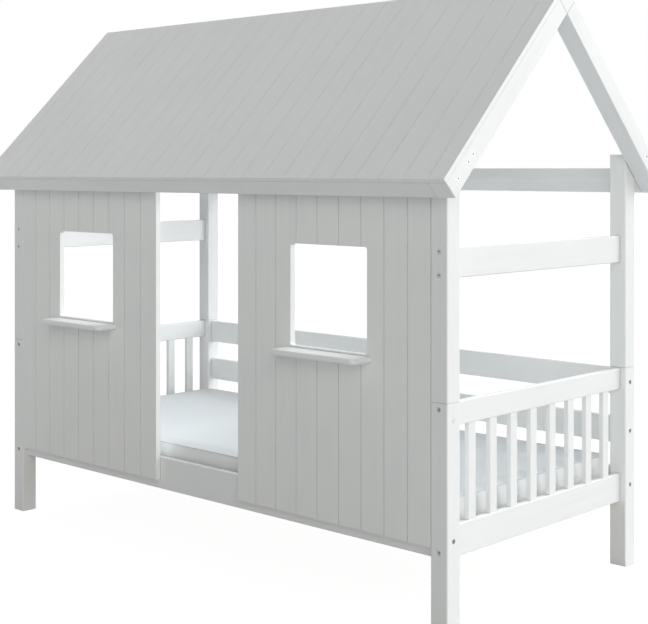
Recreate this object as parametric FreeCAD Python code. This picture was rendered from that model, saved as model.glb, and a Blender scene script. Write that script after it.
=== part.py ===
"""House frame bed: a single child's bed inside a pitched timber house frame.

Units are millimetres. The origin lies on the floor under the middle of the bed.
+X runs along the bed, +Z is up, and the boarded front with its door and two windows
faces -Y. Every piece of timber, board and hardware is its own solid.
"""
import FreeCAD, Part
import math
import os

from FreeCAD import Vector

# ---------------------------------------------------------------- driving dimensions
# mattress and the room round it
mattress_length = 2000.0
mattress_width = 900.0
mattress_thickness = 100.0
mattress_crown = 3.0            # swell of the top at the middle of the bed
mattress_end_crown = 1.0        # swell of the top at its two ends
mattress_side_draw = 4.0        # how far the long sides pull in between the corners
mattress_edge_radius = 14.0
mattress_end_inset = 12.6       # how far the cover closes in over each end face
mattress_post_room = 5.0        # from each end of the mattress to the posts
mattress_seat_gap = 0.3         # soft cover to slats
mattress_spans = 8              # straight spans that follow the sides' curve
mattress_end_turns = (90, 60, 30, 0)    # degrees round the ends' rolled edge

# posts: a lower leg and an upper post, stacked
post_side = 60.0
post_edge_radius = 4.0
leg_height = 662.0
post_rise = 626.0               # from the leg's top to the rafter's underside at the post's face
joint_chamfer = 1.5             # broken edges where timbers meet end to end
end_chamfer = 2.0               # broken edges at the floor and at the post's top

# boards between the posts
board_thickness = 20.0
board_edge_radius = 4.0
frame_bottom = 215.0            # underside of the side rails and of the end panels
side_rail_height = 110.0
guard_board_height = 90.0       # guard rails and cross rails
guard_rail_drop = 5.0           # upper guard rail's top below the leg's top
guard_rail_gap = 73.0           # between the two guard rails
cross_rail_rise = 350.0         # cross rail's underside above the leg's top
end_top_rail_height = 70.0
end_top_rail_drop = 2.0         # end panel's top below the leg's top
end_bottom_rail_height = 94.0

# flat spindles in each end panel
spindle_count = 8
spindle_width = 35.0
spindle_thickness = 16.0
spindle_edge_radius = 2.5
mortise_depth = 12.0
mortise_fit = 0.1

# slatted base
slat_width = 70.0
slat_thickness = 18.0
slat_pitch_target = 150.0
slat_edge_radius = 3.0
slat_side_room = 2.0            # from the slat's end to the side rail
slat_post_room = 12.0           # from the outer slats to the posts
ledger_height = 30.0
ledger_width = 28.0
ledger_edge_radius = 2.0
ledger_rise = 10.0              # ledger's underside above the side rail's underside
ledger_end_room = 15.0

# boarded front
facade_thickness = 20.0
facade_rise = 33.0              # panel's underside above the side rail's underside
facade_post_fit = 0.5
facade_edge_radius = 1.5
door_width = 413.0
window_side = 318.0
window_rise = 526.0             # window's lower edge above the panel's underside
window_corner_radius = 8.0
groove_pitch = 90.0
groove_width = 2.8
groove_depth = 4.0
groove_edge_margin = 50.0       # least distance from a groove to the panel's edge
sill_length = 356.0
sill_projection = 80.0
sill_thickness = 18.0
sill_corner_radius = 22.0
sill_edge_radius = 7.5
sill_drop = 6.0                 # sill's top below the window

# roof frame: square timbers turned to the 45 degree slope
rafter_width = 65.0
rafter_depth = 60.0             # also the side of the square ridge and eave beams
rafter_edge_radius = 3.0
eave_beam_post_gap = 2.5
post_top_clearance = 0.5
roof_panel_count = 4
roof_panel_thickness = 15.0
roof_panel_gap = 0.5
roof_panel_edge_radius = 1.0
ridge_lap = 6.0                 # how far the roof panels pass the ridge beam

# bolts, insert nuts and caps
bolt_radius = 3.0
bolt_hole_radius = 3.3
bolt_head_radius = 6.5
bolt_head_thickness = 5.0
bolt_socket_flats = 6.0         # across the flats of the hexagonal socket
bolt_socket_depth = 3.5
counterbore_radius = 7.5
deep_counterbore_depth = 8.0
flush_counterbore_depth = 5.5
bolt_reach = 40.0               # how far a bolt enters the end of a board
insert_nut_radius = 5.0         # threaded sleeve in the end of a board
insert_nut_length = 24.0
insert_nut_fit = 0.1
insert_nut_set_back = 0.5       # from the end of the board to the nut
end_top_bolt_drop = 17.0        # bolt below the top edge of the end panel
end_bottom_bolt_rise = 23.0     # bolt above the underside of the end panel
cross_bolt_spacing = 67.0
cap_radius = 7.0
cap_thickness = 1.2
cap_plug_radius = 4.0
cap_plug_length = 8.0

# dowels
dowel_radius = 4.0
dowel_fit = 0.1
dowel_end_room = 0.5            # left free at each end of a dowel's hole
rail_dowel_length = 40.0
rail_dowel_spread = 52.0        # between the two dowels at a board's end
end_dowel_offset = 24.0         # dowel to bolt in the end panels' rails
post_dowel_radius = 6.0
post_dowel_length = 80.0
post_dowel_spread = 24.0
ridge_dowel_length = 48.0
ridge_dowel_spread = 30.0

# screws
screw_fit = 0.1
rafter_screw_radius = 2.5
rafter_screw_head_radius = 6.5
rafter_screw_socket_flats = 5.0
rafter_screw_socket_depth = 3.0
rafter_screw_length = 100.0
rafter_screw_inner_offset = 5.0     # upper screw, inward of the post's centre line
rafter_screw_outer_offset = 17.0    # second screw, outward of it
rafter_screw_eave_offset = 17.0     # third screw, up the slope from the eave beam's centre
wood_screw_radius = 2.0
wood_screw_head_radius = 4.0
wood_screw_socket_flats = 3.0
wood_screw_socket_depth = 1.5
wood_screw_bite = 14.0              # thread length in the far piece
facade_screw_inset = 60.0           # from the panel's sides
sill_screw_spacing = 120.0
sill_screw_bite = 40.0              # thread length in the sill
ledger_screw_count = 6
ledger_screw_inset = 80.0
roof_screw_bite = 9.0
roof_screw_inset = 90.0

# ---------------------------------------------------------------- derived places
slope_share = math.sqrt(0.5)    # sine and cosine of the 45 degree slope
same_place = 1e-6               # closer than this, two points are one

post_inner_x = mattress_length / 2 + mattress_post_room
post_inner_y = mattress_width / 2          # posts line up with the mattress's sides
post_centre_x = post_inner_x + post_side / 2
post_centre_y = post_inner_y + post_side / 2
outer_x = post_inner_x + post_side
outer_y = post_inner_y + post_side

# the front panels are flush with the posts and lie on the side rail's outer face
rail_outer_y = outer_y - facade_thickness
rail_centre_y = rail_outer_y - board_thickness / 2
rail_inner_y = rail_outer_y - board_thickness
side_rail_top = frame_bottom + side_rail_height
guard_upper_top = leg_height - guard_rail_drop
guard_lower_top = guard_upper_top - guard_board_height - guard_rail_gap
guard_upper_centre = guard_upper_top - guard_board_height / 2
end_top_rail_top = leg_height - end_top_rail_drop
end_top_rail_bottom = end_top_rail_top - end_top_rail_height
end_bottom_rail_top = frame_bottom + end_bottom_rail_height
cross_rail_bottom = leg_height + cross_rail_rise
cross_rail_centre = cross_rail_bottom + guard_board_height / 2

ledger_bottom = frame_bottom + ledger_rise
ledger_top = ledger_bottom + ledger_height
slat_top = ledger_top + slat_thickness
mattress_bottom = slat_top + mattress_seat_gap

rafter_underside_at_post = leg_height + post_rise
ridge_underside = rafter_underside_at_post + outer_y
half_diagonal = rafter_depth * slope_share
rafter_length = (outer_y + eave_beam_post_gap) / slope_share + rafter_depth
post_top = rafter_underside_at_post + rafter_depth / slope_share - post_top_clearance
eave_centre_z = rafter_underside_at_post - eave_beam_post_gap
roof_half_length = outer_x + rafter_width

facade_front_y = -outer_y
facade_back_y = facade_front_y + facade_thickness
facade_bottom = frame_bottom + facade_rise
facade_top = eave_centre_z + half_diagonal
facade_inner_x = door_width / 2
facade_outer_x = post_inner_x - facade_post_fit
facade_centre_x = (facade_inner_x + facade_outer_x) / 2
window_bottom = facade_bottom + window_rise

X_AXIS = Vector(1, 0, 0)
Y_AXIS = Vector(0, 1, 0)
Z_AXIS = Vector(0, 0, 1)
SIDES = (("left", -1), ("right", 1))
FACES = (("front", -1), ("back", 1))

nodes = {}
bed_bolts = []
cross_bolts = []
insert_nuts = []
dowels = []
wood_screws = []
rafter_screws = []
holes = {}


# ---------------------------------------------------------------- plain shapes
def cylinder(radius, length, start, direction):
    """Round bar from start along direction."""
    return Part.makeCylinder(radius, length, start, direction)


def hex_bar(flats, length, start, direction):
    """Six-sided bar from start along direction, given the width across its flats."""
    reach = flats / math.sqrt(3)
    turns = [math.radians(60 * i) for i in range(7)]
    corners = [Vector(reach * math.cos(turn), reach * math.sin(turn), 0) for turn in turns]
    bar = Part.Face(Part.makePolygon(corners)).extrude(Z_AXIS * length)
    bar.Placement = FreeCAD.Placement(start, FreeCAD.Rotation(Z_AXIS, direction))
    return bar


def span_box(x_pair, y_pair, z_pair):
    """Box between two planes on each axis, given in any order."""
    low = Vector(min(x_pair), min(y_pair), min(z_pair))
    high = Vector(max(x_pair), max(y_pair), max(z_pair))
    size = high - low
    return Part.makeBox(size.x, size.y, size.z, low)


def edges_along(shape, axis):
    """Straight edges of a shape that run along one axis."""
    found = []
    for edge in shape.Edges:
        if len(edge.Vertexes) != 2:
            continue
        run = edge.Vertexes[1].Point - edge.Vertexes[0].Point
        if run.Length > 0 and abs(abs(run.normalize().dot(axis)) - 1) < same_place:
            found.append(edge)
    return found


def chamfer_end(shape, point, axis, size):
    """Shape with the edges of its flat end broken; the end passes through point, square to axis."""
    rim = [edge for edge in shape.Edges
           if all(abs((vertex.Point - point).dot(axis)) < same_place for vertex in edge.Vertexes)]
    return shape.makeChamfer(size, rim)


def board(x_pair, y_pair, z_pair, axis, radius):
    """Board or bar with its long edges rounded, running along axis."""
    blank = span_box(x_pair, y_pair, z_pair)
    return blank.makeFillet(radius, edges_along(blank, axis))


def slope_point(side, along, above):
    """Y and Z of a point in a roof slope: down from the ridge, above the rafter's underside."""
    y = side * (along + above) * slope_share
    z = ridge_underside - (along - above) * slope_share
    return y, z


def slope_bar(side, along_pair, above_pair, x_pair, axis, radius):
    """Square-cut timber in a roof slope, with its edges along axis rounded."""
    corners = []
    for along, above in ((0, 0), (1, 0), (1, 1), (0, 1), (0, 0)):
        y, z = slope_point(side, along_pair[along], above_pair[above])
        corners.append(Vector(min(x_pair), y, z))
    width = max(x_pair) - min(x_pair)
    blank = Part.Face(Part.makePolygon(corners)).extrude(X_AXIS * width)
    return blank.makeFillet(radius, edges_along(blank, axis))


def cut_all(shape, tools):
    """Shape less every tool."""
    if len(tools) > 1:
        return shape.cut(tools[0].fuse(tools[1:]))
    return shape.cut(tools[0])


def groove_offsets(width):
    """Groove centres across a grooved board, centred, at the groove pitch."""
    count = int((width - 2 * groove_edge_margin) // groove_pitch) + 1
    return [(i - (count - 1) / 2) * groove_pitch for i in range(count)]


def v_groove(length):
    """Triangular bar along +Z whose wide side lies on the plane y = 0, cutting towards +Y."""
    half = groove_width / 2
    corners = [Vector(-half, 0, 0), Vector(half, 0, 0), Vector(0, groove_depth, 0), Vector(-half, 0, 0)]
    return Part.Face(Part.makePolygon(corners)).extrude(Z_AXIS * length)


# ---------------------------------------------------------------- hardware and its holes
def add_hole(node, tool):
    """Remember a hole to be cut in a node."""
    holes.setdefault(node, []).append(tool)


def socket_bolt(mouth, direction, length, recess):
    """Socket-head bolt: mouth is the centre of its hole on the timber's face."""
    head_start = mouth + direction * (recess - bolt_head_thickness)
    head = cylinder(bolt_head_radius, bolt_head_thickness, head_start, direction)
    shank = cylinder(bolt_radius, length - recess, mouth + direction * recess, direction)
    socket = hex_bar(bolt_socket_flats, bolt_socket_depth, head_start, direction)
    return head.fuse(shank).cut(socket).removeSplitter()


def bolt_board_end(mouth, direction, recess, post_node, board_node, store):
    """Bolt through a post into a board's end, with its insert nut in the board."""
    length = post_side + bolt_reach
    store.append(socket_bolt(mouth, direction, length, recess))
    bore = cylinder(bolt_hole_radius, length + bolt_head_thickness, mouth, direction)
    bore = bore.fuse(cylinder(counterbore_radius, recess, mouth, direction))
    add_hole(post_node, bore)
    add_hole(board_node, bore)
    board_end = mouth + direction * post_side
    sleeve = cylinder(insert_nut_radius, insert_nut_length,
                      board_end + direction * insert_nut_set_back, direction)
    insert_nuts.append(sleeve.cut(bore))
    pocket_depth = insert_nut_set_back + insert_nut_length + insert_nut_fit
    add_hole(board_node, cylinder(insert_nut_radius + insert_nut_fit, pocket_depth, board_end, direction))


def add_dowel(centre, direction, radius, length, node_a, node_b):
    """Wooden dowel with its hole in both pieces."""
    dowels.append(cylinder(radius, length, centre - direction * (length / 2), direction))
    reach = length / 2 + dowel_end_room
    hole = cylinder(radius + dowel_fit, 2 * reach, centre - direction * reach, direction)
    add_hole(node_a, hole)
    add_hole(node_b, hole)


def add_screw(mouth, direction, length, radius, head_radius, socket, pieces, store):
    """Countersunk screw, flush with the timber at mouth, with its hole in both pieces."""
    rise = head_radius - radius
    neck = mouth + direction * rise
    head = Part.makeCone(head_radius, radius, rise, mouth, direction)
    shank = cylinder(radius, length - rise, neck, direction)
    store.append(head.fuse(shank).cut(socket))
    wide = Part.makeCone(head_radius + screw_fit, radius + screw_fit, rise, mouth, direction)
    hole = wide.fuse(cylinder(radius + screw_fit, length, mouth, direction))
    for node in pieces:
        add_hole(node, hole)


def add_wood_screw(mouth, direction, length, node_a, node_b):
    """Small screw from node_a into node_b."""
    socket = hex_bar(wood_screw_socket_flats, wood_screw_socket_depth, mouth, direction)
    add_screw(mouth, direction, length, wood_screw_radius, wood_screw_head_radius, socket,
              (node_a, node_b), wood_screws)


def add_rafter_screw(mouth, direction, node_a, node_b):
    """Long screw through a rafter into the post or beam behind it."""
    socket = hex_bar(rafter_screw_socket_flats, rafter_screw_socket_depth, mouth, direction)
    add_screw(mouth, direction, rafter_screw_length, rafter_screw_radius, rafter_screw_head_radius,
              socket, (node_a, node_b), rafter_screws)


# ---------------------------------------------------------------- legs and posts
def make_posts():
    """Four legs and the four posts that stand on them, pinned with pairs of dowels."""
    for face, fy in FACES:
        for side, sx in SIDES:
            xs = (sx * post_inner_x, sx * outer_x)
            ys = (fy * post_inner_y, fy * outer_y)
            leg = board(xs, ys, (0, leg_height), Z_AXIS, post_edge_radius)
            joint = Vector(0, 0, leg_height)
            leg = chamfer_end(leg, joint, Z_AXIS, joint_chamfer)
            leg = chamfer_end(leg, Vector(0, 0, 0), Z_AXIS, end_chamfer)
            post = board(xs, ys, (leg_height, post_top), Z_AXIS, post_edge_radius)
            post = chamfer_end(post, joint, Z_AXIS, joint_chamfer)
            post = chamfer_end(post, Vector(0, 0, post_top), Z_AXIS, end_chamfer)
            nodes[f"leg_{face}_{side}"] = leg
            nodes[f"post_{face}_{side}"] = post
            for step in (-1, 1):
                centre = Vector(sx * post_centre_x + step * post_dowel_spread / 2,
                                fy * post_centre_y + step * post_dowel_spread / 2, leg_height)
                add_dowel(centre, Z_AXIS, post_dowel_radius, post_dowel_length,
                          f"leg_{face}_{side}", f"post_{face}_{side}")


# ---------------------------------------------------------------- end panels
def make_spindles(side, sx):
    """Row of flat spindles, evenly spaced, mortised into the end panel's two rails."""
    gap = (2 * post_inner_y - spindle_count * spindle_width) / (spindle_count + 1)
    middle = sx * post_centre_x
    xs = (middle - spindle_thickness / 2, middle + spindle_thickness / 2)
    zs = (end_bottom_rail_top - mortise_depth, end_top_rail_bottom + mortise_depth)
    for i in range(spindle_count):
        start = -post_inner_y + gap + i * (spindle_width + gap)
        end = start + spindle_width
        nodes[f"spindle_{side}_{i + 1}"] = board(xs, (start, end), zs, Z_AXIS, spindle_edge_radius)
        mortise = span_box((xs[0] - mortise_fit, xs[1] + mortise_fit),
                           (start - mortise_fit, end + mortise_fit), zs)
        add_hole(f"end_top_rail_{side}", mortise)
        add_hole(f"end_bottom_rail_{side}", mortise)


def make_end_panel(side, sx):
    """Two rails with the spindles between them, the cross rail above, and their hardware."""
    xs = (sx * (post_centre_x - board_thickness / 2), sx * (post_centre_x + board_thickness / 2))
    ys = (-post_inner_y, post_inner_y)
    spans = {
        "end_top_rail": (end_top_rail_bottom, end_top_rail_top),
        "end_bottom_rail": (frame_bottom, end_bottom_rail_top),
        "cross_rail": (cross_rail_bottom, cross_rail_bottom + guard_board_height),
    }
    for rail, zs in spans.items():
        nodes[f"{rail}_{side}"] = board(xs, ys, zs, Y_AXIS, board_edge_radius)
    make_spindles(side, sx)

    end_bolts = (("end_top_rail", end_top_rail_top - end_top_bolt_drop, -1),
                 ("end_bottom_rail", frame_bottom + end_bottom_bolt_rise, 1))
    for face, fy in FACES:
        leg = f"leg_{face}_{side}"
        inward = Vector(0, -fy, 0)
        for rail, height, turn in end_bolts:
            node = f"{rail}_{side}"
            mouth = Vector(sx * post_centre_x, fy * outer_y, height)
            bolt_board_end(mouth, inward, deep_counterbore_depth, leg, node, bed_bolts)
            pin = Vector(sx * post_centre_x, fy * post_inner_y, height + turn * end_dowel_offset)
            add_dowel(pin, inward, dowel_radius, rail_dowel_length, leg, node)
        for step in (-1, 1):
            height = cross_rail_centre + step * cross_bolt_spacing / 2
            mouth = Vector(sx * post_centre_x, fy * outer_y, height)
            bolt_board_end(mouth, inward, flush_counterbore_depth, f"post_{face}_{side}",
                           f"cross_rail_{side}", cross_bolts)


# ---------------------------------------------------------------- long rails
def make_long_rail(node, fy, top, height):
    """Board along the bed between two legs, bolted and dowelled at both ends."""
    nodes[node] = board((-post_inner_x, post_inner_x), (fy * rail_inner_y, fy * rail_outer_y),
                        (top - height, top), X_AXIS, board_edge_radius)
    face = "front" if fy < 0 else "back"
    middle = top - height / 2
    for side, sx in SIDES:
        leg = f"leg_{face}_{side}"
        inward = Vector(-sx, 0, 0)
        mouth = Vector(sx * outer_x, fy * rail_centre_y, middle)
        bolt_board_end(mouth, inward, deep_counterbore_depth, leg, node, bed_bolts)
        for step in (-1, 1):
            pin = Vector(sx * post_inner_x, fy * rail_centre_y, middle + step * rail_dowel_spread / 2)
            add_dowel(pin, inward, dowel_radius, rail_dowel_length, leg, node)


def make_long_rails():
    """Side rails that carry the bed, and the two guard rails at the back."""
    make_long_rail("side_rail_front", -1, side_rail_top, side_rail_height)
    make_long_rail("side_rail_back", 1, side_rail_top, side_rail_height)
    make_long_rail("guard_rail_upper", 1, guard_upper_top, guard_board_height)
    make_long_rail("guard_rail_lower", 1, guard_lower_top, guard_board_height)


def make_hole_caps():
    """Caps over the front legs' unused upper bolt holes, as the legs are drilled alike."""
    caps = []
    for side, sx in SIDES:
        mouth = Vector(sx * outer_x, -rail_centre_y, guard_upper_centre)
        inward = Vector(-sx, 0, 0)
        plate = cylinder(cap_radius, cap_thickness, mouth - inward * cap_thickness, inward)
        rim = [edge for edge in plate.Edges
               if abs(edge.CenterOfMass.x - sx * (outer_x + cap_thickness)) < same_place]
        plate = plate.makeFillet(cap_thickness / 2, rim)
        plug = cylinder(cap_plug_radius, cap_plug_length, mouth, inward)
        caps.append(plate.fuse(plug).removeSplitter())
        hole = cylinder(cap_plug_radius + dowel_fit, cap_plug_length + dowel_end_room, mouth, inward)
        add_hole(f"leg_front_{side}", hole)
    nodes["hole_caps"] = Part.makeCompound(caps)


# ---------------------------------------------------------------- slatted base
def make_ledgers():
    """Ledgers screwed to the side rails' inner faces."""
    half_length = post_inner_x - ledger_end_room
    reach = half_length - ledger_screw_inset
    for face, fy in FACES:
        ledger_inner_y = fy * (rail_inner_y - ledger_width)
        nodes[f"slat_ledger_{face}"] = board((-half_length, half_length), (fy * rail_inner_y, ledger_inner_y),
                                             (ledger_bottom, ledger_top), X_AXIS, ledger_edge_radius)
        for i in range(ledger_screw_count):
            x = -reach + i * 2 * reach / (ledger_screw_count - 1)
            mouth = Vector(x, ledger_inner_y, (ledger_bottom + ledger_top) / 2)
            add_wood_screw(mouth, Vector(0, fy, 0), ledger_width + wood_screw_bite,
                           f"slat_ledger_{face}", f"side_rail_{face}")


def make_slats():
    """Slats across the ledgers, evenly spaced near the target pitch."""
    first = -post_inner_x + slat_post_room + slat_width / 2
    count = int((-2 * first) // slat_pitch_target) + 1
    pitch = -2 * first / (count - 1)
    half_slat = rail_inner_y - slat_side_room
    slats = []
    for i in range(count):
        x = first + i * pitch
        slats.append(board((x - slat_width / 2, x + slat_width / 2), (-half_slat, half_slat),
                           (ledger_top, slat_top), Y_AXIS, slat_edge_radius))
    nodes["slats"] = Part.makeCompound(slats)


# ---------------------------------------------------------------- mattress
def mattress_section(x, side_inset, face_inset, crown):
    """Closed outline across the mattress at x: flat below, crowned above, corners rounded."""
    half = mattress_width / 2 - side_inset
    low = mattress_bottom + face_inset
    high = mattress_bottom + mattress_thickness - mattress_crown - face_inset
    radius = mattress_edge_radius
    mid_arc = radius * (1 - slope_share)

    def corner(sy, z_flat, towards):
        """Quarter arc as three points, from the side to the flat face at z_flat."""
        return (Vector(x, sy * half, z_flat + towards * radius),
                Vector(x, sy * (half - mid_arc), z_flat + towards * mid_arc),
                Vector(x, sy * (half - radius), z_flat))

    right_low = corner(1, low, 1)
    right_high = corner(1, high, -1)
    left_high = corner(-1, high, -1)
    left_low = corner(-1, low, 1)
    top = Vector(x, 0, high + crown)
    edges = [
        Part.LineSegment(left_low[2], right_low[2]),
        Part.Arc(right_low[2], right_low[1], right_low[0]),
        Part.LineSegment(right_low[0], right_high[0]),
        Part.Arc(right_high[0], right_high[1], right_high[2]),
        Part.Arc(right_high[2], top, left_high[2]),
        Part.Arc(left_high[2], left_high[1], left_high[0]),
        Part.LineSegment(left_high[0], left_low[0]),
        Part.Arc(left_low[0], left_low[1], left_low[2]),
    ]
    return Part.Wire([edge.toShape() for edge in edges])


def make_mattress():
    """Crowned mattress with rolled ends and drawn-in sides, lofted along the bed."""
    ends = []
    for angle in mattress_end_turns:
        turn = math.radians(angle)
        inset = mattress_end_inset * (1 - math.cos(turn))
        back = mattress_edge_radius * (1 - math.sin(turn))
        ends.append((mattress_length / 2 - back, inset, inset, mattress_end_crown))
    straight = ends[-1][0]
    middle = []
    for i in range(1, mattress_spans):
        share = 2 * i / mattress_spans - 1
        bow = 1 - share ** 2
        crown = mattress_end_crown + (mattress_crown - mattress_end_crown) * bow
        middle.append((share * straight, mattress_side_draw * bow, 0, crown))
    stations = [(-x, side, face, crown) for x, side, face, crown in ends] + middle + ends[::-1]
    nodes["mattress"] = Part.makeLoft([mattress_section(*station) for station in stations], True, True)


# ---------------------------------------------------------------- boarded front
def facade_board(sx):
    """Grooved board with a square window cut through it."""
    blank = span_box((sx * facade_inner_x, sx * facade_outer_x), (facade_front_y, facade_back_y),
                     (facade_bottom, facade_top))
    blank = blank.makeFillet(facade_edge_radius, edges_along(blank, Z_AXIS))
    tools = []
    for offset in groove_offsets(facade_outer_x - facade_inner_x):
        groove = v_groove(facade_top - facade_bottom + 2 * groove_depth)
        groove.translate(Vector(sx * facade_centre_x + offset, facade_front_y,
                                facade_bottom - groove_depth))
        tools.append(groove)
    half = window_side / 2
    opening = span_box((sx * facade_centre_x - half, sx * facade_centre_x + half),
                       (facade_front_y - facade_thickness, facade_back_y + facade_thickness),
                       (window_bottom, window_bottom + window_side))
    tools.append(opening.makeFillet(window_corner_radius, edges_along(opening, Y_AXIS)))
    return cut_all(blank, tools)


def window_sill(sx, top):
    """Little shelf with rounded front corners and a nosed edge."""
    front_y = facade_front_y - sill_projection
    xs = (sx * facade_centre_x - sill_length / 2, sx * facade_centre_x + sill_length / 2)
    sill = span_box(xs, (facade_front_y, front_y), (top - sill_thickness, top))
    corners = [edge for edge in edges_along(sill, Z_AXIS)
               if abs(edge.CenterOfMass.y - front_y) < same_place]
    sill = sill.makeFillet(sill_corner_radius, corners)
    rim = [edge for edge in sill.Edges if edge.CenterOfMass.y < facade_front_y - same_place
           and abs(edge.Vertexes[0].Z - edge.Vertexes[-1].Z) < same_place]
    return sill.makeFillet(sill_edge_radius, rim)


def make_facade_panel(side, sx):
    """Panel between the door and a post, its sill, and the screws that hold them."""
    node = f"facade_panel_{side}"
    sill_node = f"window_sill_{side}"
    sill_top = window_bottom - sill_drop
    nodes[node] = facade_board(sx)
    nodes[sill_node] = window_sill(sx, sill_top)
    for step in (-1, 0, 1):
        mouth = Vector(sx * facade_centre_x + step * sill_screw_spacing, facade_back_y,
                       sill_top - sill_thickness / 2)
        add_wood_screw(mouth, -Y_AXIS, facade_thickness + sill_screw_bite, node, sill_node)
    rail_middle = frame_bottom + side_rail_height / 2
    for x in (facade_inner_x + facade_screw_inset, facade_centre_x, facade_outer_x - facade_screw_inset):
        from_rail = Vector(sx * x, -rail_inner_y, rail_middle)
        add_wood_screw(from_rail, -Y_AXIS, board_thickness + wood_screw_bite, "side_rail_front", node)
        to_beam = Vector(sx * x, facade_back_y, eave_centre_z)
        reach = facade_thickness + eave_beam_post_gap + wood_screw_bite
        add_wood_screw(to_beam, -Y_AXIS, reach, node, "eave_beam_front")


# ---------------------------------------------------------------- roof frame
def make_rafters():
    """Four rafters on the posts' outer faces, butted against the ridge beam."""
    middle = rafter_depth / 2
    for face, fy in FACES:
        direction = Vector(0, fy, -1).normalize()
        for side, sx in SIDES:
            node = f"rafter_{face}_{side}"
            rafter = slope_bar(fy, (0, rafter_length), (0, rafter_depth),
                               (sx * outer_x, sx * roof_half_length), direction,
                               rafter_edge_radius)
            for along in (0, rafter_length):
                end = Vector(0, *slope_point(fy, along, 0))
                rafter = chamfer_end(rafter, end, direction, joint_chamfer)
            nodes[node] = rafter
            post_reaches = (post_centre_y - rafter_screw_inner_offset,
                            post_centre_y + rafter_screw_outer_offset)
            places = [(reach / slope_share - middle, f"post_{face}_{side}") for reach in post_reaches]
            places.append((rafter_length - middle - rafter_screw_eave_offset, f"eave_beam_{face}"))
            for along, into in places:
                mouth = Vector(sx * roof_half_length, *slope_point(fy, along, middle))
                add_rafter_screw(mouth, Vector(-sx, 0, 0), node, into)
            y, z = slope_point(fy, 0, middle)
            for step in (-1, 1):
                x = sx * (outer_x + rafter_width / 2) + step * ridge_dowel_spread / 2
                add_dowel(Vector(x, y, z), direction, dowel_radius, ridge_dowel_length, node, "ridge_beam")


def roof_beam(side, along_pair, half_length):
    """Square beam along the roof, its long edges rounded and its two ends broken."""
    beam = slope_bar(side, along_pair, (0, rafter_depth), (-half_length, half_length), X_AXIS,
                     rafter_edge_radius)
    for sx in (-1, 1):
        beam = chamfer_end(beam, Vector(sx * half_length, 0, 0), X_AXIS, joint_chamfer)
    return beam


def make_beams():
    """Ridge beam between the rafters' heads, and the eave beams between their feet."""
    nodes["ridge_beam"] = roof_beam(-1, (-rafter_depth, 0), roof_half_length)
    for face, fy in FACES:
        nodes[f"eave_beam_{face}"] = roof_beam(fy, (rafter_length - rafter_depth, rafter_length), outer_x)


def make_roof_panels():
    """Grooved panels side by side over the front slope, screwed from inside the beams."""
    width = 2 * roof_half_length / roof_panel_count
    half = (width - roof_panel_gap) / 2
    top_end = -rafter_depth - ridge_lap
    above = (rafter_depth, rafter_depth + roof_panel_thickness)
    up_slope = Vector(0, 1, 1).normalize()
    outward = Vector(0, -1, 1).normalize()
    slope_turn = FreeCAD.Rotation(X_AXIS, -outward, up_slope)
    for i in range(roof_panel_count):
        node = f"roof_panel_{i + 1}"
        centre = -roof_half_length + (i + 0.5) * width
        panel = slope_bar(-1, (top_end, rafter_length), above, (centre - half, centre + half),
                          X_AXIS, roof_panel_edge_radius)
        grooves = []
        y, z = slope_point(-1, rafter_length + groove_depth, above[1])
        for offset in groove_offsets(width):
            groove = v_groove(rafter_length - top_end + 2 * groove_depth)
            groove.Placement = FreeCAD.Placement(Vector(centre + offset, y, z), slope_turn)
            grooves.append(groove)
        nodes[node] = cut_all(panel, grooves)
        for step in (-1, 1):
            x = centre + step * (half - roof_screw_inset)
            for along, beam in ((rafter_length - rafter_depth / 2, "eave_beam_front"),
                                (-rafter_depth / 2, "ridge_beam")):
                mouth = Vector(x, *slope_point(-1, along, 0))
                add_wood_screw(mouth, outward, rafter_depth + roof_screw_bite, beam, node)


# ---------------------------------------------------------------- build
make_posts()
for side_name, side_sign in SIDES:
    make_end_panel(side_name, side_sign)
    make_facade_panel(side_name, side_sign)
make_long_rails()
make_hole_caps()
make_ledgers()
make_slats()
make_mattress()
make_beams()
make_rafters()
make_roof_panels()

nodes["bed_bolts"] = Part.makeCompound(bed_bolts)
nodes["cross_rail_bolts"] = Part.makeCompound(cross_bolts)
nodes["insert_nuts"] = Part.makeCompound(insert_nuts)
nodes["rafter_screws"] = Part.makeCompound(rafter_screws)
nodes["dowels"] = Part.makeCompound(dowels)
nodes["wood_screws"] = Part.makeCompound(wood_screws)

for name, tools in holes.items():
    nodes[name] = cut_all(nodes[name], tools)

os.makedirs("parts", exist_ok=True)
for name, shape in nodes.items():
    shape.exportStep(f"parts/{name}.step")
    print(name, "solids", len(shape.Solids), "valid", shape.isValid())
print("nodes", len(nodes), "height", round(max(shape.BoundBox.ZMax for shape in nodes.values()), 1))
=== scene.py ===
"""Looks of the house frame bed: paint, bare timber, hardware, the mattress and a pale studio.

Everything is in metres in the part's own frame: +X along the bed, +Z up, and the boarded
front faces -Y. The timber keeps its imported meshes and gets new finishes. The mattress is
modelled here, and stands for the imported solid.
"""
import logging
import math
from dataclasses import dataclass, field
from enum import Enum

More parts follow.
